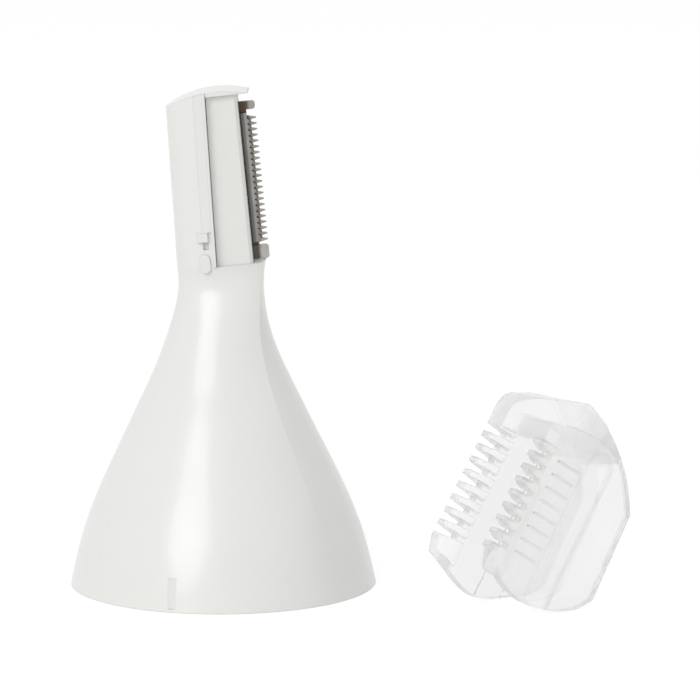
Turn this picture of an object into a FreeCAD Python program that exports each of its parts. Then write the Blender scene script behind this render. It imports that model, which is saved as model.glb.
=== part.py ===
import FreeCAD, Part
import math
import os

# Head of a small precision hair trimmer, standing on its open mouth, with its clear
# guide comb taken off and standing beside it. Millimetres.
# Origin: centre of the skirt's mouth, on the plane it stands on. +Z up the skirt's axis,
# +X towards the side the cutter is on.
# "Neck frame": u across the neck (+u to the cutter), y as in the row, w up the neck from
# the shoulder. The comb is drawn in the neck frame too, as it sits when it is pushed on.

Vec = FreeCAD.Vector

fit_gap = 0.05            # between pieces that are fixed to each other
past = 1.0                # how far a cutting tool runs past what it cuts
far = 40.0                # beyond every piece

# cutter
tooth_count = 22
tooth_pitch = 0.61
first_tooth_w = 2.05
tooth_tip_u = 4.85
tooth_root_u = 3.9
moving_tip_u = 4.3
tooth_foot_share = 0.9    # a tooth's width at its root and tip, as shares of the pitch
tooth_point_share = 0.16
moving_foot_share = 0.8
moving_point_share = 0.3
plate_thick = 0.4         # both blades
blade_gap = 0.03          # between the two blades
cutter_stroke = 0.3       # each way from the middle
end_clear = 0.06          # left between the blades' ends at full stroke
strip_below = 0.15        # moving blade's plain ends, from the outer teeth's middles
strip_above = 0.58
fixed_bottom = 0.1
tab_height = 0.85         # fixed blade's upper tab
tab_round = 0.3
tab_groove_u = 3.8
tab_groove_width = 0.2
tab_groove_depth = 0.25
blade_tail_u = 0.0
face_u = 3.15             # where the blades come out of their holder
stiffener_width = 0.2
stiffener_proud = 0.12
rivet_w = (2.6, 14.2)
rivet_radius = 0.45
rivet_depth = 1.8
peg_w = (4.5, 12.0)
peg_radius = 0.4

last_tooth_w = first_tooth_w + tooth_pitch * (tooth_count - 1)
moving_bottom = first_tooth_w - strip_below
moving_top = last_tooth_w + strip_above
travel = cutter_stroke + end_clear
fixed_top = moving_top + travel + tab_height

# casing
wall = 1.2                # skirt wall, measured level
mouth_half_x = 16.15      # half width of the mouth
mouth_half_y = 15.5       # half depth of the mouth
skirt_height = 27.0       # from the mouth to where the flank turns into the neck
waist_left = 5.65         # half widths there
waist_right = 5.1
waist_depth = 4.9
shoulder_x = 0.2          # centre of the shoulder
shoulder_z = skirt_height + 7.1
neck_tilt = 5.4           # degrees, top of the neck leaning to -X
neck_half_y = 3.4         # half depth of the neck
foot_left = 4.9           # neck's half widths at the shoulder
foot_right = 4.47
collar_below = 2.9        # a section this far below the shoulder, with its half widths
collar_left = 5.15
collar_right = 3.93
crown_top_left = 4.3      # and at the level of neck_top
crown_top_right = 5.15
neck_facet = 0.77         # neck's flat side, as a share of its depth
neck_bulge = 0.25
neck_square = 2.3         # power of the neck's outline: 2 is an ellipse, more is squarer
deck = 1.2                # thickness of the shoulder's deck
crown_left = fixed_top - 0.35     # height of the crown's arch at its three points
crown_mid = fixed_top + 1.55
crown_right = fixed_top + 0.3
crown_mid_u = 0.8
crown_roof = 0.5          # crown's thickness over the window
crown_web = 1.0           # more of it over the holder's tongue
neck_top = crown_mid + 1.0
window_foot_u = -0.65     # left edge of the window, at the shoulder and at neck_top
window_top_u = -0.08
section_steps = 14        # spans of a casing section's rounded side

# From the mouth to the waist: share of the skirt's height, share of the way from the
# mouth's size to the waist's, half width of the flat side and how far it bulges.
skirt_profile = [
    (0.0, 0.0, 10.2, 3.95),
    (0.11, 0.062, 9.8, 3.85),
    (0.328, 0.24, 9.1, 3.55),
    (0.526, 0.468, 7.8, 3.05),
    (0.722, 0.705, 6.3, 2.4),
    (0.863, 0.872, 4.95, 1.75),
    (1.0, 1.0, 3.75, 1.0)]

# rail, rib, catch and index mark on the casing
rail_width = 1.25
rail_proud = 0.12
rail_bottom = 3.7
rib_width = 0.3
rib_proud = 0.22
catch_u = -1.8
catch_width = 1.15
catch_root = 0.9          # how deep the catch details start inside the wall
block_height = 0.95
block_proud = 0.3
pocket_height = 0.85
pocket_depth = 0.6
button_gap = 0.43
button_length = 2.0
button_proud = 0.15
mark_x = -4.8
mark_z = 0.4
mark_width = 0.87
mark_height = 3.1
mark_proud = 0.1

# blade holder
panel_drop = 0.8          # window panel below the neck's face
panel_bevel = 0.4
tongue_left = -3.2
tongue_right = 0.1        # inside the holder's head
tongue_half_y = 2.1
holder_tail = 4.0         # length below the shoulder
holder_pin_u = -2.0
holder_pin_w = (4.0, 13.0)
holder_pin_radius = 0.5
holder_pin_reach = 1.6
jaw_room_depth = 1.5      # room in the back half for the slider's jaws
jaw_room_top = -1.0
jaw_room_left = 0.4
bay_depth = 2.05          # spring and slider bay in the cover
slot_gap = 0.07           # behind the moving blade
slider_left = -0.1
slider_right = 1.5
slider_thick = 1.05
slider_short = 1.0        # slider's end below the moving blade's
slide_gap = 0.15          # round the slider in its bay
jaw_height = 1.5
jaw_reach = 0.8
spine_gap = 0.15
spine_thick = 0.6
spring_thick = 0.15
spring_width = 1.1
spring_gap = 0.03
spring_w = (2.0, 12.0)

# rocker
finger_u = 0.7
finger_w = -8.0
finger_radius = 0.8
finger_half = 0.75        # half length of the finger, and half thickness of its arm
short_arm = 4.0
arm_slim = 0.15           # arm's edge inside the finger's round
run_gap = 0.04            # running clearance of the finger and of the pivot pin
pin_radius = 0.75
pin_end = 0.5             # pin standing out of each cheek
clip_radius = 1.35
clip_height = 0.3
hub_radius = 1.6
rocker_thick = 2.0
stem_top = 1.2            # stem's half width at the pivot and at the fork
stem_foot = 1.1
fork_z = 7.5              # bottom of the fork
fork_top = 12.5
fork_roof = 1.2
fork_slot = 3.2           # width of the fork's slot, lined by the clip
fork_tine = 1.0
fork_depth = 6.0
clip_thick = 0.2
clip_short = 0.8          # lining's end inside the fork's face
clip_lift = 0.3

# bracket that carries the rocker
bridge_z = skirt_height / 2       # halfway up the skirt
bridge_thick = 1.5
bridge_half_y = 8.7
bridge_half_x = 3.6
bridge_corner = 1.8
boss_y = 7.2
boss_radius = 1.7
boss_root = 2.0           # boss above the end of its screw
cheek_thick = 1.1
cheek_gap = 0.15          # between the rocker and a cheek
cheek_left = -3.4         # cheek's foot on the bridge
cheek_right = 2.6
cheek_round = 1.5
cheek_sink = 1.3          # cheek's foot inside the bridge
stem_room_left = -3.0     # slot in the bridge that the rocker's stem swings in
stem_room_right = 2.5
screw_radius = 0.8
screw_head_radius = 1.4
screw_head_height = 1.1
screw_head_round = 0.4
screw_end_gap = 0.3       # between a screw's end and its hole's
cross_width = 0.36
cross_depth = 0.5
cross_share = 0.6         # of the head's radius
bracket_screw_length = 4.5

# ring that the handle plugs into
ring_z = 0.3
ring_height = 5.0
ring_bore = 9.0
ring_screw_radius = 11.15
ring_screw_length = 4.5
ring_screw_count = 3
ring_screw_start = 90.0   # degrees
counterbore_radius = 1.5
counterbore_gap = 0.6     # head below the ring's underside
bayonet_start = 30.0      # degrees
bayonet_width = 3.0
bayonet_depth = 1.0
bayonet_below = 1.0       # from the slots' tops up to the snap ring
snap_wire = 0.4
snap_z = 3.5
snap_gap = 0.05
groove_gap = 0.15         # round the snap ring's wire
snap_opening = 50.0       # degrees left open in the snap ring

# guide comb
comb_clear = 0.15         # between the comb's plates and the neck
comb_plate = 1.1
comb_tip_near = 7.6
comb_tip_far = 7.75
comb_pitch = 1.46
comb_first_far = 3.2      # lowest gap's middle in each plate, and the number of gaps
comb_first_near = 3.9
comb_gaps_far = 9
comb_gaps_near = 8
comb_gap_root = 5.4
comb_gap_wide = 1.1
comb_gap_narrow = 0.45
comb_core_root = 4.5      # gaps in the fins' inner part start here
fin_inner_u = 5.2         # fins' inner ends, just beyond the cutter's tips
fin_inner_y = 2.3
fin_edge = 0.25           # fin's thickness at its tip
fin_swell_u = 0.4
fin_swell_y = 0.75
fin_root = 0.6
slit_start = 1.0
slit_end = 4.2
slit_width = 0.22
slit_depth = 0.5
groove_left = -3.1
groove_right = 0.1
groove_depth = 0.3
groove_drop = 2.3         # straight groove's top, below crown_mid
comb_top_clear = 0.2      # between the crown and the end wall
comb_room_wider = 1.0     # neck's room beyond the crown's ends
comb_block_drop = 2.8     # end block's foot, below crown_mid
comb_facet_drop = 3.0     # slanted facet's foot, below crown_mid
comb_facet_far = (7.75, -2.6)     # facet's end on the block, (u, y)
comb_facet_near = 4.3     # and its u on the near plate's face
pad_place = (0.4, 4.2, -1.7)      # raised pad's sides, and its foot above crown_mid
pad_sink = 0.3
pad_proud = 0.12
pad_tick = (2.4, 0.8, 0.3, 0.6)   # tick's side, foot above crown_mid, width and height

# Plate outlines: tip's foot, toe, sole and heel as (u, w), then from the back edge's top
# over the dome to the tip's top as (u, height above crown_mid).
comb_near_foot = [
    (7.65, 2.9), (6.0, 2.5), (4.7, 0.85), (1.6, -0.05), (-1.4, 0.07), (-4.06, 0.85), (-6.3, 2.2),
    (-7.6, 3.9)]
comb_near_top = [
    (-7.25, -4.8), (-2.6, -0.1), (3.9, 2.6), (5.0, 2.25), (5.9, 1.7), (7.2, 0.3), (7.6, -1.4)]
comb_far_foot = [
    (7.75, 2.4), (7.2, 0.7), (4.6, -0.1), (1.9, -0.9), (-0.25, -1.05), (-4.7, 1.15), (-6.4, 2.25),
    (-7.6, 3.9)]
comb_far_top = [
    (-7.25, -4.8), (-3.1, 0.5), (1.3, 3.2), (3.8, 2.5), (5.95, 1.5), (7.3, 0.4), (7.6, -1.0)]
comb_turn = 35.0          # comb's plates are turned this much from the row's X axis
comb_roll = 32.4          # and rolled this much as it stands on its rounded end
comb_stand_x = 28.78      # where its neck frame's origin comes on the table
comb_stand_y = -13.21


def neck_place():
    return FreeCAD.Placement(Vec(shoulder_x, 0, shoulder_z), FreeCAD.Rotation(Vec(0, 1, 0), -neck_tilt))


def in_neck(shape):
    """Move a shape drawn in the neck frame to its place in the row."""
    placed = shape.copy()
    placed.transformShape(neck_place().toMatrix())
    return placed


def window_edge(w):
    """The window's left edge slants a little: its u at height w."""
    return window_foot_u + (window_top_u - window_foot_u) * w / neck_top


def box(low, high):
    return Part.makeBox(high[0] - low[0], high[1] - low[1], high[2] - low[2], Vec(*low))


def rod(start, end, radius):
    along = end - start
    return Part.makeCylinder(radius, along.Length, start, along)


def prism(corners, along):
    return Part.Face(Part.makePolygon(corners + corners[:1])).extrude(along)


def prism_uw(points, low_y, high_y):
    """Polygon in the X-Z plane, drawn out along Y."""
    return prism([Vec(x, low_y, z) for x, z in points], Vec(0, high_y - low_y, 0))


def prism_edges(edges, low_y, high_y):
    """Closed chain of edges drawn at y = 0, drawn out along Y."""
    solid = Part.Face(Part.Wire(edges)).extrude(Vec(0, high_y - low_y, 0))
    solid.translate(Vec(0, low_y, 0))
    return solid


def line(start, end):
    return Part.makeLine(Vec(start[0], 0, start[1]), Vec(end[0], 0, end[1]))


def arc(start, middle, end):
    return Part.Arc(*[Vec(x, 0, z) for x, z in (start, middle, end)]).toShape()


def between(first, second):
    """Two levels in rising order, for a box on either side of the middle."""
    return sorted((first, second))


def fuse_all(shapes):
    return shapes[0].multiFuse(shapes[1:]).removeSplitter()


def cut_all(shape, tools):
    for tool in tools:
        shape = shape.cut(tool)
    return shape


# casing

def signed_power(value, power):
    return math.copysign(abs(value) ** power, value)


def casing_section(left, right, depth, facet, bulge, power):
    """Level outline: a nearly flat side towards +X with a corner at each end of it, and a
    rounded side the rest of the way. Two edges, so that all sections match."""
    corner_x = right - bulge
    first = math.asin((facet / depth) ** (power / 2))
    reach = corner_x / math.cos(first) ** (2 / power)
    points = []
    for step in range(section_steps + 1):
        angle = first + (2 * math.pi - 2 * first) * step / section_steps
        across = reach if math.cos(angle) > 0 else left
        points.append(Vec(across * signed_power(math.cos(angle), 2 / power),
                          -depth * signed_power(math.sin(angle), 2 / power), 0))
    points[0] = Vec(corner_x, -facet, 0)
    points[-1] = Vec(corner_x, facet, 0)
    rounded = Part.BSplineCurve()
    rounded.interpolate(points)
    side = Part.Arc(points[-1], Vec(right, 0, 0), points[0]).toShape()
    return Part.Wire([rounded.toShape(), side])


def neck_section(left, right):
    return casing_section(left, right, neck_half_y, neck_half_y * neck_facet, neck_bulge, neck_square)


def casing_stations():
    """Placement and outline sizes, from the mouth up to the shoulder."""
    stations = []
    for height, share, facet, bulge in skirt_profile:
        left = mouth_half_x + share * (waist_left - mouth_half_x)
        right = mouth_half_x + share * (waist_right - mouth_half_x)
        depth = mouth_half_y + share * (waist_depth - mouth_half_y)
        place = FreeCAD.Placement(Vec(0, 0, height * skirt_height), FreeCAD.Rotation())
        stations.append((place, left, right, depth, facet, bulge, 2.0))
    for below, left, right in ((collar_below, collar_left, collar_right), (0.0, foot_left, foot_right)):
        place = neck_place().multiply(FreeCAD.Placement(Vec(0, 0, -below), FreeCAD.Rotation()))
        stations.append((place, left, right, neck_half_y, neck_half_y * neck_facet, neck_bulge, neck_square))
    return stations


def casing_loft(inset, drop):
    """Solid through the stations, all sizes smaller by inset and the top lower by drop."""
    wires = []
    stations = casing_stations()
    for place, left, right, depth, facet, bulge, power in stations:
        wire = casing_section(left - inset, right - inset, depth - inset,
                              facet * (1 - inset / depth), bulge, power)
        if place is stations[-1][0]:
            place = place.multiply(FreeCAD.Placement(Vec(0, 0, -drop), FreeCAD.Rotation()))
        wire.transformShape(place.toMatrix())
        wires.append(wire)
    return Part.makeLoft(wires, True, False)


def crown_arch(lower, wider=0.0):
    """Everything under the crown's arch, lowered by lower, in the neck frame."""
    left = -crown_top_left - 0.1 - wider
    right = crown_top_right + 0.1 + wider
    edges = [arc((left, crown_left - lower), (crown_mid_u, crown_mid - lower), (right, crown_right - lower)),
             line((right, crown_right - lower), (right, -far)),
             line((right, -far), (left, -far)),
             line((left, -far), (left, crown_left - lower))]
    return prism_edges(edges, -far, far)


def neck_body():
    """Neck above the shoulder: widening upwards, domed by the arch, opened by the window."""
    foot = neck_section(foot_left, foot_right)
    top = neck_section(crown_top_left, crown_top_right)
    top.translate(Vec(0, 0, neck_top))
    body = Part.makeLoft([foot, top], True, True).common(crown_arch(0, past))
    window = prism_uw([(window_edge(0), 0), (far, 0), (far, neck_top), (window_edge(neck_top), neck_top)],
                      -far, far)
    channel = box((tongue_left - fit_gap, -tongue_half_y - fit_gap, 0),
                  (tongue_right, tongue_half_y + fit_gap, neck_top))
    body = body.cut(window.common(crown_arch(crown_roof, far)))
    return body.cut(channel.common(crown_arch(crown_roof + crown_web)))


def strip_left_of_window(width, proud, bottom):
    """Raised strips beside the window, one on each face, up to the crown's edge."""
    pieces = []
    for side in (-1, 1):
        ys = between(side * (neck_half_y - catch_root), side * (neck_half_y + proud))
        strip = prism_uw([(window_edge(bottom) - width, bottom), (window_edge(bottom), bottom),
                          (window_edge(neck_top), neck_top), (window_edge(neck_top) - width, neck_top)], *ys)
        pieces.append(strip.common(crown_arch(0)))
    return pieces


def catch_details():
    """Stop block and oval button at the foot of the front rail."""
    half = catch_width / 2
    inside = -neck_half_y + catch_root
    block = box((catch_u - half, -neck_half_y - block_proud, rail_bottom - block_height),
                (catch_u + half, inside, rail_bottom))
    face = -neck_half_y - button_proud
    top = rail_bottom - block_height - pocket_height - button_gap
    ends = [top - half, top - button_length + half]
    rounds = [rod(Vec(catch_u, face, w), Vec(catch_u, inside, w), half) for w in ends]
    middle = box((catch_u - half, face, ends[1]), (catch_u + half, inside, ends[0]))
    return [block, fuse_all(rounds + [middle])]


def catch_pocket():
    top = rail_bottom - block_height
    return box((catch_u, -neck_half_y - past, top - pocket_height),
               (catch_u + catch_width / 2, -neck_half_y + pocket_depth, top))


def bracket_bosses():
    """Foot and screw length of each boss that the bracket is screwed to."""
    return [(Vec(0, side * boss_y, bridge_z + bridge_thick), bracket_screw_length) for side in (-1, 1)]


def ring_bosses():
    """The same for the ring's bosses."""
    bosses = []
    for index in range(ring_screw_count):
        angle = math.radians(ring_screw_start + 360 * index / ring_screw_count)
        foot = Vec(ring_screw_radius * math.cos(angle), ring_screw_radius * math.sin(angle),
                   ring_z + ring_height)
        bosses.append((foot, ring_screw_length))
    return bosses


def index_mark():
    """Small raised bar on the front, leaning with the skirt's wall."""
    rise, share = skirt_profile[1][:2]
    lean = math.degrees(math.atan2(share * (mouth_half_y - waist_depth), rise * skirt_height))
    foot_y = -mouth_half_y * math.sqrt(1 - (mark_x / mouth_half_x) ** 2)
    half = mark_width / 2
    bar = box((mark_x - half, foot_y - mark_proud, mark_z),
              (mark_x + half, foot_y + wall, mark_z + mark_height))
    bar.rotate(Vec(mark_x, foot_y, 0), Vec(1, 0, 0), -lean)
    return bar.cut(casing_loft(wall, deck))


def make_skirt_shell():
    outer = casing_loft(0, 0)
    shell = outer.cut(casing_loft(wall, deck))
    bosses = bracket_bosses() + ring_bosses()
    rods = [rod(foot, foot + Vec(0, 0, length + boss_root), boss_radius).common(outer)
            for foot, length in bosses]
    shell = shell.multiFuse(rods)
    shell = cut_all(shell, [rod(foot, foot + Vec(0, 0, length), screw_radius) for foot, length in bosses])
    rails = strip_left_of_window(rail_width, rail_proud, rail_bottom)
    ribs = strip_left_of_window(rib_width, rib_proud, 0.0)
    above = neck_body().multiFuse(rails + ribs + catch_details()).cut(catch_pocket())
    shell = shell.fuse(in_neck(above))
    shell = shell.cut(in_neck(holder_outline(fit_gap, -deck - collar_below, 0)))
    return shell.fuse(index_mark()).removeSplitter()


# blade holder, cover and their pins

def holder_outline(grow, bottom, top):
    """Head in the window and tongue in the neck, from bottom to top."""
    half = neck_half_y - panel_drop + grow
    side = fit_gap - grow
    head = prism_uw([(window_edge(bottom) + side, bottom), (face_u + grow, bottom), (face_u + grow, top),
                     (window_edge(top) + side, top)], -half, half)
    tongue = box((tongue_left - grow, -tongue_half_y - grow, bottom),
                 (tongue_right, tongue_half_y + grow, top))
    return head.fuse(tongue)


def holder_block():
    block = holder_outline(0, -holder_tail, crown_mid)
    above = crown_left - wall - fit_gap
    over_tongue = prism_uw([(-far, above), (window_edge(above) + fit_gap, above),
                            (window_edge(far) + fit_gap, far), (-far, far)], -far, far)
    return block.common(crown_arch(crown_roof + fit_gap, far)).cut(over_tongue)


def holder_pin_points():
    return [Vec(holder_pin_u, 0, w) for w in holder_pin_w]


def blade_rivet_points():
    return [Vec(finger_u, 0, w) for w in rivet_w]


def slider_peg_points():
    return [Vec(finger_u, 0, w) for w in peg_w]


def make_blade_holder():
    """Back half: carries the fixed blade in a pocket in its face."""
    half = holder_block().common(box((-far, 0, -far), (far, far, far)))
    pocket = box((blade_tail_u - fit_gap, -past, fixed_bottom - fit_gap),
                 (face_u + past, plate_thick, fixed_top + fit_gap))
    jaw_room = box((slider_left - jaw_room_left, -past, -holder_tail - past),
                   (face_u + past, jaw_room_depth, jaw_room_top))
    holes = [rod(point - Vec(0, past, 0), point + Vec(0, holder_pin_reach, 0), holder_pin_radius)
             for point in holder_pin_points()]
    holes += [rod(point, point + Vec(0, rivet_depth, 0), rivet_radius) for point in blade_rivet_points()]
    return in_neck(cut_all(half, [pocket, jaw_room] + holes))


def cover_bevel():
    """Bevel along the panel's edge beside the blades."""
    half = neck_half_y - panel_drop
    corners = [Vec(face_u - panel_bevel, -half - 0.1, 0), Vec(face_u + 0.1, -half - 0.1, 0),
               Vec(face_u + 0.1, -half + panel_bevel, 0)]
    return prism(corners, Vec(0, 0, far))


def make_holder_cover():
    """Front half: the panel beside the blades, hollowed for the moving blade, its slider
    and the spring behind it."""
    half = holder_block().common(box((-far, -far, -far), (far, 0, far)))
    blade_slot = box((blade_tail_u - slide_gap, -blade_gap - plate_thick - slot_gap, moving_bottom - travel),
                     (face_u + past, past, moving_top + travel))
    bay = box((slider_left - slide_gap, -bay_depth, -holder_tail - past),
              (slider_right + slide_gap, past, moving_top + travel))
    holes = [rod(point - Vec(0, holder_pin_reach, 0), point + Vec(0, past, 0), holder_pin_radius)
             for point in holder_pin_points()]
    return in_neck(cut_all(half, [blade_slot, bay, cover_bevel()] + holes))


def make_holder_pins():
    reach = Vec(0, holder_pin_reach, 0)
    return Part.makeCompound([in_neck(rod(point - reach, point + reach, holder_pin_radius))
                              for point in holder_pin_points()])


# cutter

def toothed_plate(bottom, top, first, count, tip, foot_share, point_share, low_y, high_y):
    """Flat blade with a row of teeth along its +u edge."""
    foot = tooth_pitch * foot_share / 2
    point = tooth_pitch * point_share / 2
    outline = [(blade_tail_u, bottom), (tooth_root_u, bottom)]
    for index in range(count):
        middle = first + tooth_pitch * index
        outline += [(tooth_root_u, middle - foot), (tip, middle - point), (tip, middle + point),
                    (tooth_root_u, middle + foot)]
    outline += [(tooth_root_u, top), (blade_tail_u, top)]
    return prism_uw(outline, low_y, high_y)


def end_tab(low_w, high_w, low_y, high_y):
    """Rounded block at an end of the fixed blade."""
    tab = box((face_u + fit_gap, low_y, low_w), (tooth_tip_u, high_y, high_w))
    corners = [edge for edge in tab.Edges
               if edge.BoundBox.YLength > plate_thick and edge.BoundBox.XMin > tooth_tip_u - 0.01]
    return tab.makeFillet(tab_round, corners)


def make_fixed_blade():
    plate = toothed_plate(fixed_bottom, fixed_top, first_tooth_w, tooth_count, tooth_tip_u,
                          tooth_foot_share, tooth_point_share, 0, plate_thick)
    front = -blade_gap - plate_thick
    low = end_tab(fixed_bottom, moving_bottom - travel, front, plate_thick)
    high = end_tab(moving_top + travel, fixed_top, front, plate_thick)
    groove = box((tab_groove_u, front - past, fixed_bottom - past),
                 (tab_groove_u + tab_groove_width, front + tab_groove_depth, moving_bottom))
    holes = [rod(point - Vec(0, past, 0), point + Vec(0, past, 0), rivet_radius)
             for point in blade_rivet_points()]
    return in_neck(cut_all(fuse_all([plate, low, high]), [groove] + holes))


def make_blade_rivets():
    return Part.makeCompound([in_neck(rod(point, point + Vec(0, rivet_depth, 0), rivet_radius))
                              for point in blade_rivet_points()])


def make_moving_blade():
    """Its teeth rest in the middle of the fixed blade's gaps."""
    back = -blade_gap
    front = back - plate_thick
    plate = toothed_plate(moving_bottom, moving_top, first_tooth_w + tooth_pitch / 2, tooth_count - 1,
                          moving_tip_u, moving_foot_share, moving_point_share, front, back)
    stiffener = box((face_u + fit_gap, front - stiffener_proud, moving_bottom),
                    (face_u + fit_gap + stiffener_width, front, moving_top))
    holes = [rod(point - Vec(0, past, 0), point, peg_radius) for point in slider_peg_points()]
    return in_neck(cut_all(plate.fuse(stiffener), holes))


def slider_levels():
    near = -blade_gap - plate_thick
    return near - slider_thick, near


def make_blade_slider():
    """Bar behind the moving blade, with a mouth at its foot for the rocker's finger."""
    back, near = slider_levels()
    mouth = finger_radius + run_gap
    spine_left = finger_u + finger_radius + spine_gap
    spine_right = spine_left + spine_thick
    roof = finger_w + mouth
    floor = finger_w - mouth
    bar = box((slider_left, back, roof), (slider_right, near, moving_top - slider_short))
    upper = box((slider_left, back, roof), (spine_right, jaw_reach, roof + jaw_height))
    lower = box((slider_left, back, floor - jaw_height), (spine_right, jaw_reach, floor))
    spine = box((spine_left, back, floor - jaw_height), (spine_right, jaw_reach, roof + jaw_height))
    pegs = [rod(point + Vec(0, near, 0), point + Vec(0, -blade_gap - fit_gap, 0), peg_radius)
            for point in slider_peg_points()]
    return in_neck(fuse_all([bar, upper, lower, spine] + pegs))


def make_pressure_spring():
    """Leaf that presses the slider and moving blade on the fixed blade."""
    back, near = slider_levels()
    crest = back - spring_gap - spring_thick
    low_w, high_w = spring_w
    inner = [Vec(0, -bay_depth, low_w), Vec(0, crest, (low_w + high_w) / 2), Vec(0, -bay_depth, high_w)]
    outer = [point + Vec(0, spring_thick, 0) for point in inner]
    edges = [Part.Arc(*inner).toShape(), Part.makeLine(inner[2], outer[2]),
             Part.Arc(*reversed(outer)).toShape(), Part.makeLine(outer[0], inner[0])]
    leaf = Part.Face(Part.Wire(edges)).extrude(Vec(spring_width, 0, 0))
    leaf.translate(Vec(finger_u - spring_width / 2, 0, 0))
    return in_neck(leaf)


# rocker and what carries it

def pivot_point():
    """Pivot in the row: level with the finger in the neck frame, short_arm to its left."""
    return neck_place().multVec(Vec(finger_u - short_arm, 0, finger_w))


def make_rocker_lever():
    pivot = pivot_point()
    finger = neck_place().multVec(Vec(finger_u, 0, finger_w))
    half = rocker_thick / 2
    reach = Vec(0, half, 0)
    finger_reach = Vec(0, finger_half, 0)
    hub = rod(pivot - reach, pivot + reach, hub_radius)
    tip = rod(finger - finger_reach, finger + finger_reach, finger_radius)
    arm_half = finger_radius - arm_slim
    arm = box((finger_u - short_arm, -finger_half, finger_w - arm_half),
              (finger_u, finger_half, finger_w + arm_half))
    roof = fork_top - fork_roof
    stem = prism_uw([(pivot.x - stem_top, pivot.z), (pivot.x + stem_top, pivot.z), (stem_foot, roof),
                     (-stem_foot, roof)], -half, half)
    slot = fork_slot / 2
    outer = slot + fork_tine
    fork = box((-outer, -fork_depth / 2, fork_z), (outer, fork_depth / 2, fork_top))
    fork = fork.cut(box((-slot, -fork_depth, fork_z - past), (slot, fork_depth, roof)))
    lever = fuse_all([hub, tip, in_neck(arm), stem, fork])
    return lever.cut(rod(pivot - 2 * reach, pivot + 2 * reach, pin_radius + run_gap))


def make_fork_clip():
    """Sprung steel lining that takes up play on the drive pin."""
    slot = fork_slot / 2
    roof = fork_top - fork_roof
    half = fork_depth / 2 - clip_short
    outer = box((-slot, -half, fork_z + clip_lift), (slot, half, roof))
    inner = slot - clip_thick
    return outer.cut(box((-inner, -half - past, fork_z - past), (inner, half + past, roof - clip_thick)))


def cheek_levels():
    inner = rocker_thick / 2 + cheek_gap
    return inner, inner + cheek_thick


def make_rocker_pin():
    reach = Vec(0, cheek_levels()[1] + pin_end, 0)
    return rod(pivot_point() - reach, pivot_point() + reach, pin_radius)


def make_pin_clips():
    """A retaining washer on each end of the pin."""
    washers = []
    for side in (-1, 1):
        start = pivot_point() + Vec(0, side * cheek_levels()[1], 0)
        end = start + Vec(0, side * clip_height, 0)
        washers.append(rod(start, end, clip_radius).cut(rod(start, end, pin_radius)))
    return Part.makeCompound(washers)


def make_pivot_bracket():
    """Bridge across the skirt with two cheeks on it for the rocker's pin."""
    pivot = pivot_point()
    inner, outer = cheek_levels()
    top = bridge_z + bridge_thick
    bridge = box((-bridge_half_x, -bridge_half_y, bridge_z), (bridge_half_x, bridge_half_y, top))
    corners = [edge for edge in bridge.Edges if edge.BoundBox.ZLength > bridge_thick / 2]
    pieces = [bridge.makeFillet(bridge_corner, corners)]
    foot = top - cheek_sink
    for side in (-1, 1):
        ys = between(side * inner, side * outer)
        pieces.append(prism_uw([(cheek_left, foot), (cheek_right, foot), (pivot.x + cheek_round, pivot.z),
                                (pivot.x - cheek_round, pivot.z)], *ys))
        pieces.append(rod(Vec(pivot.x, ys[0], pivot.z), Vec(pivot.x, ys[1], pivot.z), cheek_round))
    stem_room = box((stem_room_left, -inner, bridge_z - past), (stem_room_right, inner, top + past))
    through = Vec(0, outer + past, 0)
    holes = [rod(point - Vec(0, 0, bridge_thick + past), point + Vec(0, 0, past), screw_radius)
             for point, length in bracket_bosses()]
    return cut_all(fuse_all(pieces), [stem_room, rod(pivot - through, pivot + through, pin_radius)] + holes)


def screw(seat, length):
    """Pan-head screw from below: seat is the underside of its head, length its shank."""
    low = seat.z - screw_head_height
    head = rod(Vec(seat.x, seat.y, low), seat, screw_head_radius)
    edges = [edge for edge in head.Edges if edge.BoundBox.ZMax < low + screw_head_height / 2]
    head = head.makeFillet(screw_head_round, edges)
    shank = rod(seat, seat + Vec(0, 0, length), screw_radius)
    arm = screw_head_radius * cross_share
    half = cross_width / 2
    cross = [box((seat.x - reach_x, seat.y - reach_y, low - past),
                 (seat.x + reach_x, seat.y + reach_y, low + cross_depth))
             for reach_x, reach_y in ((arm, half), (half, arm))]
    return cut_all(head.fuse(shank), cross)


def make_bracket_screws():
    return Part.makeCompound([screw(foot - Vec(0, 0, bridge_thick), bridge_thick + length - screw_end_gap)
                              for foot, length in bracket_bosses()])


# ring for the handle

def ring_seat_depth():
    """Depth of the counterbores in the ring's underside."""
    return screw_head_height + counterbore_gap


def make_coupling_ring():
    top = ring_z + ring_height
    body = casing_loft(wall + fit_gap, deck).common(box((-far, -far, ring_z), (far, far, top)))
    tools = [rod(Vec(0, 0, 0), Vec(0, 0, top + past), ring_bore)]
    for foot, length in ring_bosses():
        below = Vec(foot.x, foot.y, 0)
        tools.append(rod(below, foot + Vec(0, 0, past), screw_radius))
        tools.append(rod(below, below + Vec(0, 0, ring_z + ring_seat_depth()), counterbore_radius))
    for index in range(ring_screw_count):
        slot = box((0, -bayonet_width / 2, 0),
                   (ring_bore + bayonet_depth, bayonet_width / 2, snap_z - bayonet_below))
        slot.rotate(Vec(0, 0, 0), Vec(0, 0, 1), bayonet_start + 360 * index / ring_screw_count)
        tools.append(slot)
    tools.append(Part.makeTorus(snap_radius(), snap_wire + groove_gap, Vec(0, 0, snap_z), Vec(0, 0, 1)))
    return cut_all(body, tools)


def make_ring_screws():
    below = ring_height - ring_seat_depth()
    return Part.makeCompound([screw(foot - Vec(0, 0, below), below + length - screw_end_gap)
                              for foot, length in ring_bosses()])


def snap_radius():
    """Radius of the snap ring's wire line, just clear of the bore."""
    return ring_bore + snap_wire + snap_gap


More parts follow.
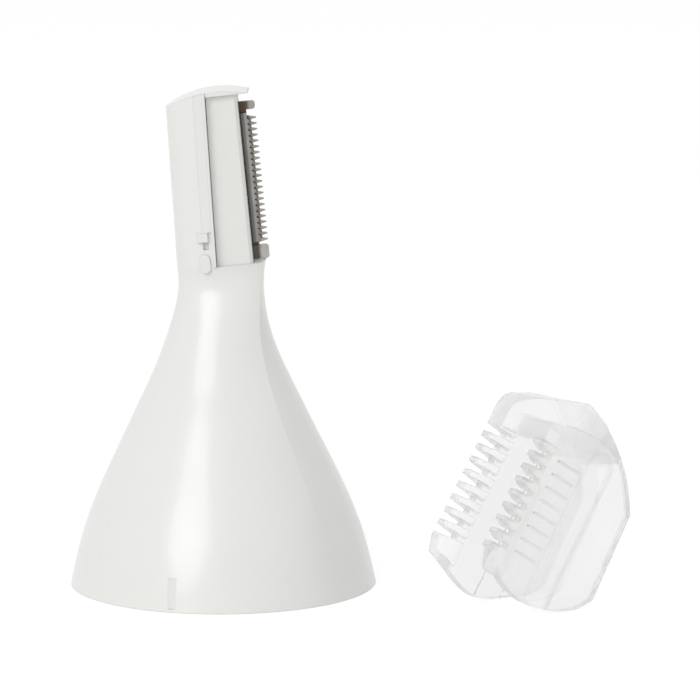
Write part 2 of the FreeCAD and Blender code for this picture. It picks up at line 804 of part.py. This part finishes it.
def make_snap_ring():
    """Open wire ring in the socket's groove: it clicks on to the handle's collar."""
    profile = Part.Face(Part.Wire(Part.makeCircle(snap_wire, Vec(snap_radius(), 0, snap_z), Vec(0, 1, 0))))
    wire = profile.revolve(Vec(0, 0, 0), Vec(0, 0, 1), 360 - snap_opening)
    wire.rotate(Vec(0, 0, 0), Vec(0, 0, 1), ring_screw_start + snap_opening / 2)
    return wire


# guide comb

def comb_plate_levels():
    inner = neck_half_y + comb_clear
    return inner, inner + comb_plate


def comb_wire(foot, top, y):
    """One plate's outline: tip edge, toe, rounded sole, back edge and domed top."""
    feet = [Vec(u, y, w) for u, w in foot]
    tops = [Vec(u, y, crown_mid + rise) for u, rise in top]
    sole = Part.BSplineCurve()
    sole.interpolate(feet[1:])
    edges = [Part.makeLine(tops[-1], feet[0]), Part.makeLine(feet[0], feet[1]), sole.toShape(),
             Part.makeLine(feet[-1], tops[0])]
    edges += [Part.Arc(*tops[start:start + 3]).toShape() for start in (0, 2, 4)]
    return Part.Wire(edges)


def comb_blank():
    """Solid from the far plate's outline to the near plate's."""
    outer = comb_plate_levels()[1]
    return Part.makeLoft([comb_wire(comb_far_foot, comb_far_top, -outer),
                          comb_wire(comb_near_foot, comb_near_top, outer)], True, True)


def comb_room():
    """What is cut from between the plates: room for the neck under the end wall, open to
    the back, and open to the front under the end block."""
    inner = comb_plate_levels()[0]
    neck_room = box((-far, -inner, -far), (crown_top_right + comb_clear, inner, far))
    behind = box((-far, -inner, -far), (-crown_top_left - comb_room_wider, inner, far))
    front = box((0, -inner, -far), (far, inner, crown_mid - comb_block_drop))
    return [neck_room.common(crown_arch(-comb_top_clear, comb_room_wider)), behind, front]


def comb_fins(side, tip):
    """Row of fins before the gaps are cut: straight outside, swelling inside to the root."""
    inner, outer = comb_plate_levels()
    start = Vec(tip, side * (outer - fin_edge), -far)
    swell = Vec((tip + fin_inner_u) / 2 + fin_swell_u, side * (fin_inner_y + fin_swell_y), -far)
    root = Vec(fin_inner_u, side * fin_inner_y, -far)
    back = Vec(fin_inner_u - fin_root, side * inner, -far)
    skin = Vec(fin_inner_u - fin_root, side * outer, -far)
    corner = Vec(tip, side * outer, -far)
    edges = [Part.Arc(start, swell, root).toShape(), Part.makeLine(root, back), Part.makeLine(back, skin),
             Part.makeLine(skin, corner), Part.makeLine(corner, start)]
    return Part.Face(Part.Wire(edges)).extrude(Vec(0, 0, 2 * far))


def comb_gap_tools(side, tip, first, count):
    """Wedge gaps between fins: through the skin down to comb_gap_root, and right through
    the fins' inner part."""
    inner, outer = comb_plate_levels()
    wide = comb_gap_wide / 2
    narrow = comb_gap_narrow / 2
    cuts = ((comb_gap_root, inner - fit_gap, outer + past), (comb_core_root, 0, inner))
    tools = []
    for index in range(count):
        middle = first + comb_pitch * index
        for root, near_y, far_y in cuts:
            tools.append(prism_uw([(tip + past, middle - wide), (tip + past, middle + wide),
                                   (root, middle + narrow), (root, middle - narrow)],
                                  *between(side * near_y, side * far_y)))
    return tools


def comb_slits():
    """Fine grooves on the near plate, one beside each gap."""
    outer = comb_plate_levels()[1]
    levels = [comb_first_near + comb_pitch * index for index in range(comb_gaps_near)]
    return [box((slit_start, outer - slit_depth, middle - slit_width / 2),
                (slit_end, outer + past, middle + slit_width / 2)) for middle in levels]


def comb_rail_groove(side):
    """Groove that the neck's rail runs in, with a round top."""
    inner = comb_plate_levels()[0]
    ys = between(side * (inner - past), side * (inner + groove_depth))
    middle = (groove_left + groove_right) / 2
    radius = (groove_right - groove_left) / 2
    top = crown_mid - groove_drop
    return [box((groove_left, ys[0], -far), (groove_right, ys[1], top)),
            rod(Vec(middle, ys[0], top), Vec(middle, ys[1], top), radius)]


def comb_facet():
    """Slanted cut over the end block, from the far plate's tip to the near plate's top."""
    outer = comb_plate_levels()[1]
    start_u, start_y = comb_facet_far
    end_u = start_u + (comb_facet_near - start_u) * (far - start_y) / (outer - start_y)
    foot = crown_mid - comb_facet_drop
    corners = [Vec(start_u, start_y, foot), Vec(far, start_y, foot), Vec(far, far, foot),
               Vec(end_u, far, foot)]
    return prism(corners, Vec(0, 0, far))


def comb_pad():
    """Raised pad with a tick on the near plate's top."""
    outer = comb_plate_levels()[1]
    left, right, bottom = pad_place
    low = crown_mid + bottom
    pad = box((left, outer - pad_sink, low), (right, outer, far)).common(comb_blank())
    pad.translate(Vec(0, pad_proud, 0))
    tick_u, tick_rise, tick_width, tick_height = pad_tick
    bottom = crown_mid + tick_rise
    tick = box((tick_u, outer, bottom), (tick_u + tick_width, outer + 2 * pad_proud, bottom + tick_height))
    return [pad, tick]


def comb_turned():
    """The comb is turned about and rolled on to its rounded foot."""
    turn = FreeCAD.Rotation(Vec(0, 0, 1), 180 + comb_turn)
    roll = FreeCAD.Rotation(Vec(0, 1, 0), -comb_roll)
    return FreeCAD.Placement(Vec(0, 0, 0), turn.multiply(roll))


def make_guide_comb():
    body = cut_all(comb_blank(), comb_room())
    fins = [comb_fins(1, comb_tip_near), comb_fins(-1, comb_tip_far)]
    body = fuse_all([body] + [fin.common(comb_blank()) for fin in fins])
    tools = comb_gap_tools(1, comb_tip_near, comb_first_near, comb_gaps_near)
    tools += comb_gap_tools(-1, comb_tip_far, comb_first_far, comb_gaps_far)
    tools += comb_slits() + comb_rail_groove(1) + comb_rail_groove(-1)
    comb = cut_all(body, tools).multiFuse(comb_pad()).cut(comb_facet()).removeSplitter()
    comb.transformShape(comb_turned().toMatrix())
    low = comb.optimalBoundingBox(False, False).ZMin
    comb.translate(Vec(comb_stand_x, comb_stand_y, -low))
    return comb


# every piece

nodes = {
    "skirt_shell": make_skirt_shell,
    "blade_holder": make_blade_holder,
    "holder_cover": make_holder_cover,
    "holder_pins": make_holder_pins,
    "fixed_blade": make_fixed_blade,
    "blade_rivets": make_blade_rivets,
    "moving_blade": make_moving_blade,
    "blade_slider": make_blade_slider,
    "pressure_spring": make_pressure_spring,
    "rocker_lever": make_rocker_lever,
    "fork_clip": make_fork_clip,
    "rocker_pin": make_rocker_pin,
    "pin_clips": make_pin_clips,
    "pivot_bracket": make_pivot_bracket,
    "bracket_screws": make_bracket_screws,
    "coupling_ring": make_coupling_ring,
    "ring_screws": make_ring_screws,
    "snap_ring": make_snap_ring,
    "guide_comb": make_guide_comb,
}

os.makedirs("parts", exist_ok=True)
for name, make in nodes.items():
    shape = make()
    shape.exportStep("parts/" + name + ".step")
    print(name, "solids", len(shape.Solids), "valid", shape.isValid(), "volume", round(shape.Volume, 2))
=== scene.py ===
import bpy
import math
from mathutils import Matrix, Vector

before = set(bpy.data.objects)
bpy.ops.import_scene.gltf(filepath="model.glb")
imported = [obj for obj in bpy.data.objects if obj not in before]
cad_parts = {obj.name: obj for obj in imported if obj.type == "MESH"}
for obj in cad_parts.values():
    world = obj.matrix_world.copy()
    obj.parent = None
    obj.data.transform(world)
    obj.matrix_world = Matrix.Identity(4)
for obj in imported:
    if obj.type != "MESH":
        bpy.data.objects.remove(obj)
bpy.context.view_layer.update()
mm = 0.001


# shader maths: an expression on values adds its Math nodes

class Value:
    def __init__(self, graph, socket):
        self.graph = graph
        self.socket = socket

    def math(self, operation, *operands):
        return self.graph.add("Math", {"operation": operation}, dict(enumerate(operands)))

    def __add__(self, other):
        return self.math("ADD", self, other)

    def __radd__(self, other):
        return self.math("ADD", other, self)

    def __sub__(self, other):
        return self.math("SUBTRACT", self, other)

    def __rsub__(self, other):
        return self.math("SUBTRACT", other, self)

    def __mul__(self, other):
        return self.math("MULTIPLY", self, other)

    def __rmul__(self, other):
        return self.math("MULTIPLY", other, self)

    def __truediv__(self, other):
        return self.math("DIVIDE", self, other)

    def largest(self, other):
        return self.math("MAXIMUM", self, other)

    def smallest(self, other):
        return self.math("MINIMUM", self, other)

    def clamped(self):
        return self.largest(0.0).smallest(1.0)


class Graph:
    def __init__(self, tree):
        self.tree = tree

    def node(self, kind, settings=None, sockets=None):
        made = self.tree.nodes.new("ShaderNode" + kind)
        for name, value in (settings or {}).items():
            if name == "stops":
                self.setStops(made.color_ramp, value)
            else:
                setattr(made, name, value)
        for key, value in (sockets or {}).items():
            self.feed(made.inputs[key], value)
        return made

    def setStops(self, ramp, stops):
        while len(ramp.elements) < len(stops):
            ramp.elements.new(0.5)
        for element, (place, colour) in zip(ramp.elements, stops):
            element.position = place
            element.color = colour

    def feed(self, target, source):
        if isinstance(source, Value):
            self.tree.links.new(source.socket, target)
        else:
            target.default_value = source

    def add(self, kind, settings=None, sockets=None, output=0):
        return Value(self, self.node(kind, settings, sockets).outputs[output])

    def mixed(self, share, first, second):
        return self.add("Mix", {"data_type": "RGBA"}, {0: share, 6: first, 7: second}, 2)

    def noise(self, scale, detail=3.0, stretch=None):
        place = self.add("TexCoord", output="Object")
        if stretch:
            place = self.add("Mapping", None, {"Vector": place, "Scale": stretch})
        return self.add("TexNoise", None, {"Vector": place, "Scale": scale, "Detail": detail})

    def roundedEdges(self, radius, samples=6):
        return self.add("Bevel", {"samples": samples}, {"Radius": radius})

    def bumped(self, height, strength, distance, normal):
        return self.add("Bump", None, {
            "Strength": strength, "Distance": distance, "Height": height, "Normal": normal})


def startMaterial(name, constants):
    material = bpy.data.materials.new(name)
    material.use_nodes = True
    graph = Graph(material.node_tree)
    shader = material.node_tree.nodes["Principled BSDF"]
    for key, value in constants.items():
        shader.inputs[key].default_value = value
    return material, graph, shader


def dress(material, *nodes):
    for name in nodes:
        slots = bpy.data.objects[name].data.materials
        slots.clear()
        slots.append(material)


# white mouldings: faint orange peel, slow drift of tone, edges that catch light

peelDepth = 0.02 * mm
coatDrift = 0.1


def whitePlastic(name, settings):
    material, graph, shader = startMaterial(name, {"IOR": 1.5, "Coat Roughness": 0.1})
    drift = graph.noise(settings["driftScale"])
    smear = graph.noise(settings["smearScale"], 4.0, (1.0, 1.0, 0.35))
    graph.feed(shader.inputs["Base Color"], graph.mixed(drift, settings["shade"], settings["colour"]))
    graph.feed(shader.inputs["Roughness"], settings["roughness"] + (smear - 0.5) * settings["smearing"])
    graph.feed(shader.inputs["Coat Weight"], settings["coat"] + (drift - 0.5) * coatDrift)
    peel = graph.noise(settings["peelScale"], 2.0)
    edges = graph.roundedEdges(settings["edgeRadius"])
    graph.feed(shader.inputs["Normal"], graph.bumped(peel, settings["peel"], peelDepth, edges))
    return material


casing = {
    "colour": (0.86, 0.865, 0.845, 1.0), "shade": (0.83, 0.833, 0.806, 1.0), "driftScale": 60.0,
    "roughness": 0.30, "smearScale": 220.0, "smearing": 0.14, "coat": 0.25,
    "peelScale": 900.0, "peel": 0.06, "edgeRadius": 0.16 * mm,
}
dress(whitePlastic("casingWhite", casing), "skirt_shell")
print("casing dressed")

holder = {
    "colour": (0.85, 0.855, 0.83, 1.0), "shade": (0.80, 0.805, 0.775, 1.0), "driftScale": 120.0,
    "roughness": 0.42, "smearScale": 300.0, "smearing": 0.10, "coat": 0.08,
    "peelScale": 2600.0, "peel": 0.12, "edgeRadius": 0.12 * mm,
}
dress(whitePlastic("holderWhite", holder), "holder_cover", "blade_holder")

innerFinish = {
    "driftScale": 150.0, "smearScale": 400.0, "smearing": 0.2, "coat": 0.0,
    "peelScale": 1800.0, "peel": 0.15, "edgeRadius": 0.1 * mm,
}
innerParts = {
    "rockerAcetal": {
        "colour": (0.80, 0.80, 0.77, 1.0), "shade": (0.73, 0.73, 0.69, 1.0), "roughness": 0.38,
        "nodes": ("blade_slider", "rocker_lever")},
    "bracketGrey": {
        "colour": (0.70, 0.71, 0.70, 1.0), "shade": (0.62, 0.63, 0.62, 1.0), "roughness": 0.48,
        "nodes": ("pivot_bracket", "coupling_ring")},
}
for name, own in innerParts.items():
    dress(whitePlastic(name, innerFinish | own), *own["nodes"])
print("mouldings dressed")


# blades: colour runs across the blade, from the back edge to the tooth tips; the dark brown at the back edge
# is painted shade from the gap by the panel, and the dark band at the fixed blade's tooth roots is painted
# shadow between the teeth

neck = {"tilt": math.radians(5.4), "shoulderX": 0.2 * mm, "shoulderZ": 34.1 * mm}


def neckPlace(graph):
    # across the neck and up it from the shoulder, in mm
    place = graph.add("TexCoord", output="Object")
    x = graph.add("SeparateXYZ", None, {0: place}, 0)
    z = graph.add("SeparateXYZ", None, {0: place}, 2)
    side = (x - neck["shoulderX"]) / mm
    rise = (z - neck["shoulderZ"]) / mm
    cos = math.cos(neck["tilt"])
    sin = math.sin(neck["tilt"])
    return side * cos + rise * sin, rise * cos - side * sin


blades = {
    "gapShadeBrown": (0.085, 0.06, 0.045, 1.0), "blue": (0.16, 0.185, 0.20, 1.0), "grey": (0.36, 0.345, 0.315, 1.0),
    "dark": (0.10, 0.09, 0.08, 1.0), "pale": (0.50, 0.49, 0.46, 1.0),
    "roughness": 0.34, "roughVaries": 0.3, "lineScale": 1500.0, "lineStretch": (6.0, 6.0, 0.6), "grind": 0.25,
    "stainScale": 500.0, "stainShare": 0.5, "footTop": 4.0, "footFade": 3.0,
    # the brown stops at the back edge are painted shade of the gap by the panel; the fixed blade's dark stop
    # at 4.0 is painted shadow at the tooth roots
    "movingBands": [(3.15, "gapShadeBrown"), (3.3, "gapShadeBrown"), (3.42, "blue"), (3.58, "blue"), (3.68, "grey"),
                    (3.9, "grey"), (4.3, "dark")],
    "fixedBands": [(3.15, "gapShadeBrown"), (3.7, "gapShadeBrown"), (4.0, "dark"), (4.3, "grey"), (4.85, "grey")],
    "footBands": [(3.15, "dark"), (3.75, "dark"), (3.9, "grey"), (4.1, "pale"), (4.85, "pale")],
}
steelEdge = {"radius": 0.05 * mm, "samples": 4, "depth": 0.01 * mm}


def bandTone(graph, settings, bands, place):
    first, last = bands[0][0], bands[-1][0]
    stops = [((at - first) / (last - first), settings[tone]) for at, tone in bands]
    return graph.add("ValToRGB", {"stops": stops}, {"Fac": ((place - first) / (last - first)).clamped()})


def groundSteel(name, settings, bands, footBands=None):
    # footBands take over towards the lower tab
    material, graph, shader = startMaterial(name, {"Metallic": 1.0})
    across, along = neckPlace(graph)
    tone = bandTone(graph, settings, bands, across)
    if footBands:
        foot = ((settings["footTop"] - along) / settings["footFade"]).clamped()
        tone = graph.mixed(foot, tone, bandTone(graph, settings, footBands, across))
    lines = graph.noise(settings["lineScale"], 3.0, settings["lineStretch"])
    stain = (graph.noise(settings["stainScale"]) * 1.6 - 0.5).clamped() * settings["stainShare"]
    graph.feed(shader.inputs["Base Color"], graph.mixed(stain, tone, settings["dark"]))
    graph.feed(shader.inputs["Roughness"], settings["roughness"] + (lines - 0.5) * settings["roughVaries"])
    edges = graph.roundedEdges(steelEdge["radius"], steelEdge["samples"])
    graph.feed(shader.inputs["Normal"], graph.bumped(lines, settings["grind"], steelEdge["depth"], edges))
    return material


dress(groundSteel("movingSteel", blades, blades["movingBands"]), "moving_blade")
dress(groundSteel("fixedSteel", blades, blades["fixedBands"], blades["footBands"]), "fixed_blade")
print("blades dressed")


# pins, screws and springs

smallParts = {
    "pinSteel": {
        "light": (0.62, 0.61, 0.60, 1.0), "dark": (0.40, 0.39, 0.38, 1.0), "roughness": 0.28, "scale": 800.0,
        "nodes": ("holder_pins", "blade_rivets", "rocker_pin", "pin_clips", "bracket_screws", "ring_screws")},
    "springSteel": {
        "light": (0.66, 0.63, 0.57, 1.0), "dark": (0.42, 0.38, 0.33, 1.0), "roughness": 0.2, "scale": 500.0,
        "nodes": ("pressure_spring", "fork_clip", "snap_ring")},
}


def smallSteel(name, settings):
    material, graph, shader = startMaterial(name, {"Metallic": 1.0})
    grain = graph.noise(settings["scale"], 4.0)
    graph.feed(shader.inputs["Base Color"], graph.mixed(grain, settings["dark"], settings["light"]))
    graph.feed(shader.inputs["Roughness"], settings["roughness"] + (grain - 0.5) * 0.2)
    edges = graph.roundedEdges(steelEdge["radius"], steelEdge["samples"])
    graph.feed(shader.inputs["Normal"], graph.bumped(grain, 0.15, steelEdge["depth"], edges))
    return material


for name, settings in smallParts.items():
    dress(smallSteel(name, settings), *settings["nodes"])
print("pins and springs dressed")


# guide comb: clear polished moulding

comb = {
    "tint": (0.97, 0.975, 0.97, 1.0), "haze": (0.91, 0.915, 0.91, 1.0), "ior": 1.34, "transmission": 0.72,
    "roughness": 0.08, "ripple": 0.10, "rippleDepth": 0.1 * mm, "edgeRadius": 0.18 * mm,
    "thinnest": 0.55, "thickest": 1.0,      # how solid it looks face on and at a glance
}


def clearPlastic(name, settings):
    constants = {"IOR": settings["ior"], "Transmission Weight": settings["transmission"]}
    material, graph, shader = startMaterial(name, constants)
    flow = graph.noise(120.0, 4.0, (1.0, 1.0, 0.5))
    graph.feed(shader.inputs["Base Color"], graph.mixed(flow, settings["haze"], settings["tint"]))
    graph.feed(shader.inputs["Roughness"], settings["roughness"] + (flow - 0.5).clamped() * 0.12)
    ripple = graph.noise(260.0, 2.0)
    edges = graph.roundedEdges(settings["edgeRadius"])
    surface = graph.bumped(ripple, settings["ripple"], settings["rippleDepth"], edges)
    graph.feed(shader.inputs["Normal"], surface)
    facing = graph.add("LayerWeight", None, {"Blend": 0.4, "Normal": edges}, 1)
    solidness = settings["thinnest"] + facing * (settings["thickest"] - settings["thinnest"])
    graph.feed(shader.inputs["Alpha"], solidness)
    return material


dress(clearPlastic("combClear", comb), "guide_comb")
print("comb dressed")


# pale room: floor and world look white where they are seen, and light the object plainly

white = (1.0, 1.0, 1.0, 1.0)
room = {"floorSize": 3.0, "fill": 0.62, "floorGlow": 0.83, "floorPaint": (0.24, 0.24, 0.24, 1.0),
        "floorTone": (0.85, 0.85, 0.84, 1.0)}


def seenDirectly(graph):
    path = graph.node("LightPath")
    camera, glossy, through = (Value(graph, path.outputs[name]) for name in
                               ("Is Camera Ray", "Is Glossy Ray", "Is Transmission Ray"))
    return camera.largest(glossy).largest(through)


def makeFloor(settings):
    half = settings["floorSize"] / 2
    mesh = bpy.data.meshes.new("floor")
    corners = [(-half, -half, 0), (half, -half, 0), (half, half, 0), (-half, half, 0)]
    mesh.from_pydata(corners, [], [(0, 1, 2, 3)])
    floor = bpy.data.objects.new("floor", mesh)
    bpy.context.scene.collection.objects.link(floor)
    material = bpy.data.materials.new("floorWhite")
    material.use_nodes = True
    material.node_tree.nodes.remove(material.node_tree.nodes["Principled BSDF"])
    graph = Graph(material.node_tree)
    glow = graph.add("Emission", None, {"Color": white, "Strength": settings["floorGlow"]})
    paint = graph.add("BsdfDiffuse", None, {"Color": settings["floorPaint"]})
    shown = graph.add("AddShader", None, {0: glow, 1: paint})
    plain = graph.add("BsdfDiffuse", None, {"Color": settings["floorTone"]})
    surface = graph.add("MixShader", None, {0: seenDirectly(graph), 1: plain, 2: shown})
    graph.feed(material.node_tree.nodes["Material Output"].inputs["Surface"], surface)
    mesh.materials.append(material)


def makeWorld(settings):
    world = bpy.data.worlds.new("paleRoom")
    bpy.context.scene.world = world
    world.use_nodes = True
    world.node_tree.nodes.remove(world.node_tree.nodes["Background"])
    graph = Graph(world.node_tree)
    light = graph.add("Background", None, {"Color": white, "Strength": settings["fill"]})
    shown = graph.add("Background", None, {"Color": white, "Strength": 1.0})
    surface = graph.add("MixShader", None, {0: seenDirectly(graph), 1: light, 2: shown})
    graph.feed(world.node_tree.nodes["World Output"].inputs["Surface"], surface)


makeFloor(room)
makeWorld(room)


# lamps: a broad soft one from the front left, a weak one from above

lampTarget = (0.013, 0.0, 0.02)
lamps = {
    "key": {"at": (-0.45, -0.85, 0.50), "size": 0.60, "power": 3.6},
    "top": {"at": (0.05, 0.10, 0.80), "size": 0.60, "power": 0.6},
}


def aimAt(thing, target):
    thing.rotation_euler = (Vector(target) - thing.location).to_track_quat("-Z", "Y").to_euler()


for name, settings in lamps.items():
    lamp = bpy.data.lights.new(name + "Lamp", "AREA")
    lamp.shape = "DISK"
    lamp.size = settings["size"]
    lamp.energy = settings["power"]
    stand = bpy.data.objects.new(name + "Lamp", lamp)
    stand.location = settings["at"]
    bpy.context.scene.collection.objects.link(stand)
    aimAt(stand, lampTarget)


# camera: low, square to the front

view = {"target": (0.0134, 0.0, 0.0248), "distance": 0.410, "above": 9.5, "lens": 200.8}


def makeCamera(settings):
    data = bpy.data.cameras.new("camera")
    data.lens = settings["lens"]
    data.clip_start = 0.01
    data.clip_end = 20.0
    camera = bpy.data.objects.new("camera", data)
    above = math.radians(settings["above"])
    backwards = Vector((0, -math.cos(above), math.sin(above)))
    camera.location = Vector(settings["target"]) + settings["distance"] * backwards
    bpy.context.scene.collection.objects.link(camera)
    aimAt(camera, settings["target"])
    bpy.context.scene.camera = camera


makeCamera(view)
bpy.context.scene.view_settings.view_transform = "Standard"
print("room, lamps and camera made")
